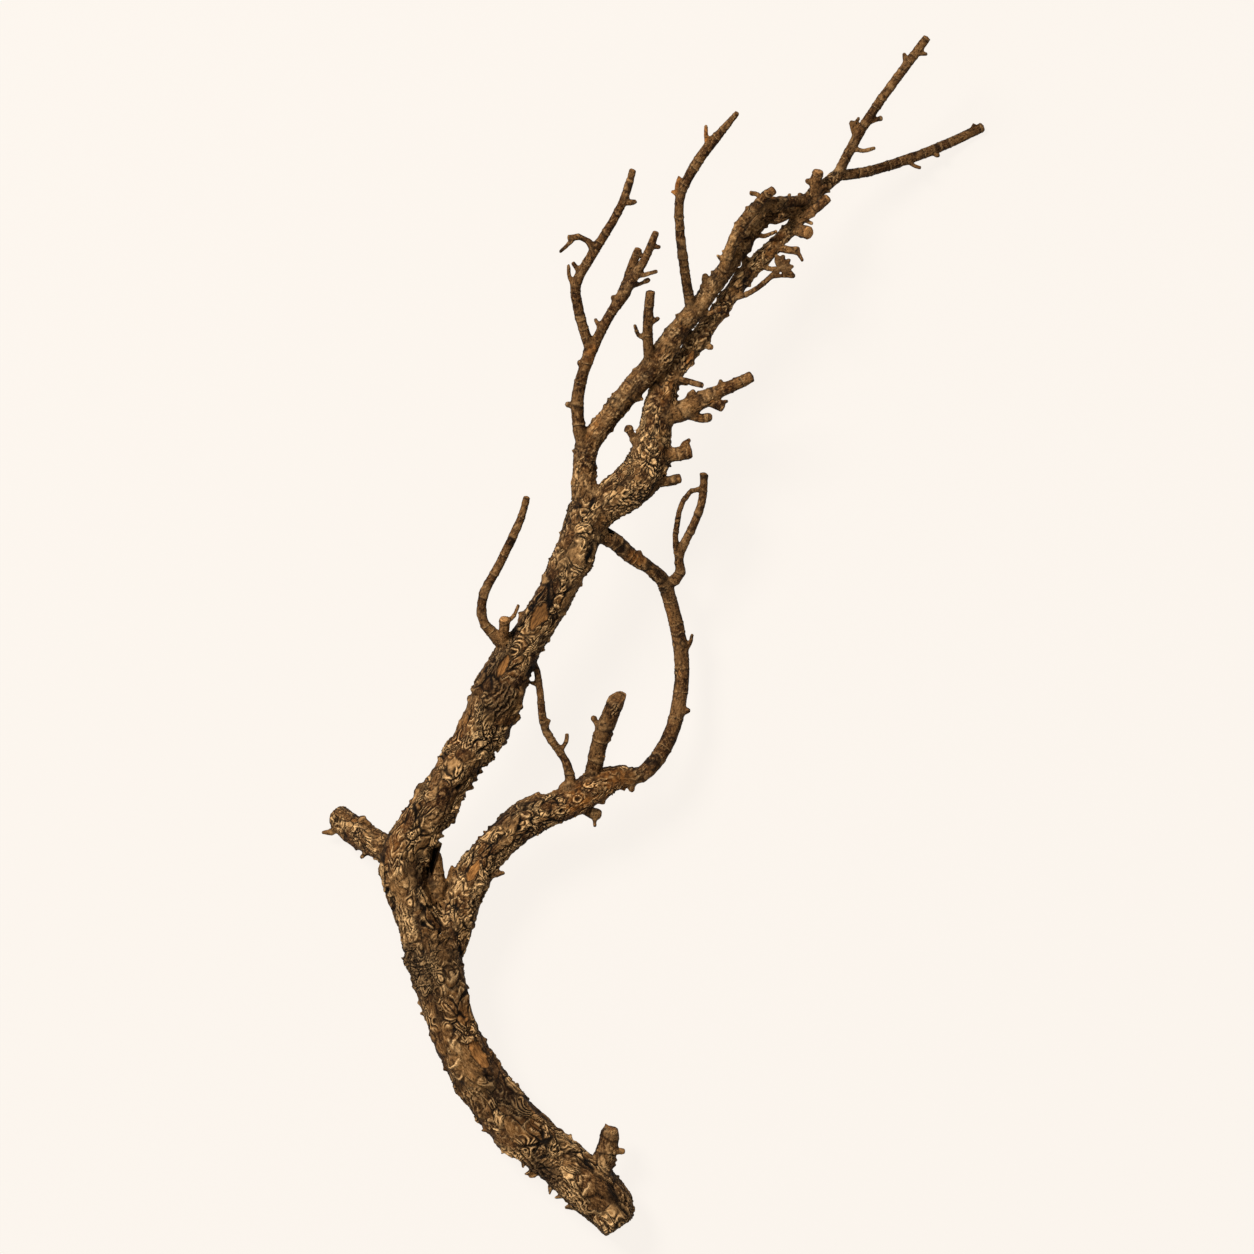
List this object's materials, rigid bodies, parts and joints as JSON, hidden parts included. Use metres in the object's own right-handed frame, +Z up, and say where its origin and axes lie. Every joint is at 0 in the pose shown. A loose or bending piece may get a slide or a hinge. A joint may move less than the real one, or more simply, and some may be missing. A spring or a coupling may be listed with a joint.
{
  "type": "fallen tree branch",
  "caption": "Bare weathered tree branch lying flat, with a thick curved butt, forked gnarled limbs, a looping side branch and fine twigs.",
  "frame": {"origin": "centre of the bounding box's underside, on the surface that the branch lies on", "axes": "+Y runs from the thick butt towards the twigs, +Z is up from the surface, +X is to the right seen from above"},
  "size_m": [0.2794, 0.5086, 0.0833],
  "materials": {
    "bark": "rough weathered bark with dark crevices and tan ridges",
    "young_bark": "smoother brown twig bark with short cross marks",
    "bare_wood": "matt bare wood and end grain"
  },
  "bodies": {
    "root": {"trunk": "bark", "trunk_spur": "bark", "main_limb": "bark", "left_stub": "bark", "crotch_stub": "bark", "right_limb": "bark", "right_limb_stub": "bark", "upright_stub": "young_bark", "loop_branch": "young_bark", "loop_arm": "young_bark", "loop_twig": "young_bark", "loop_twig_fine": "young_bark", "thin_twig": "young_bark", "left_twig": "young_bark", "left_cut_stub": "bare_wood", "left_upper_branch": "bark", "right_upper_branch": "bark", "burl_stub_upper": "bark", "burl_stub_lower": "bark", "side_branch": "bark", "side_branch_stub_near": "bark", "side_branch_stub_far": "bark", "crossing_twig": "young_bark", "short_twig": "young_bark", "tall_twig": "young_bark", "fork_twig": "young_bark", "fork_twig_left": "young_bark", "fork_twig_left_side": "young_bark", "fork_twig_right": "young_bark", "fork_twig_far": "young_bark", "bundle_strand": "bark", "bundle_stub_side": "bark", "bundle_stub_long": "bare_wood", "bundle_stub_round": "bare_wood", "bundle_stub_flat": "bare_wood", "bundle_stub_flared": "bark", "bundle_twig_fine": "young_bark", "top_twig_left": "young_bark", "top_twig_right": "young_bark"}
  },
  "joints": []
}
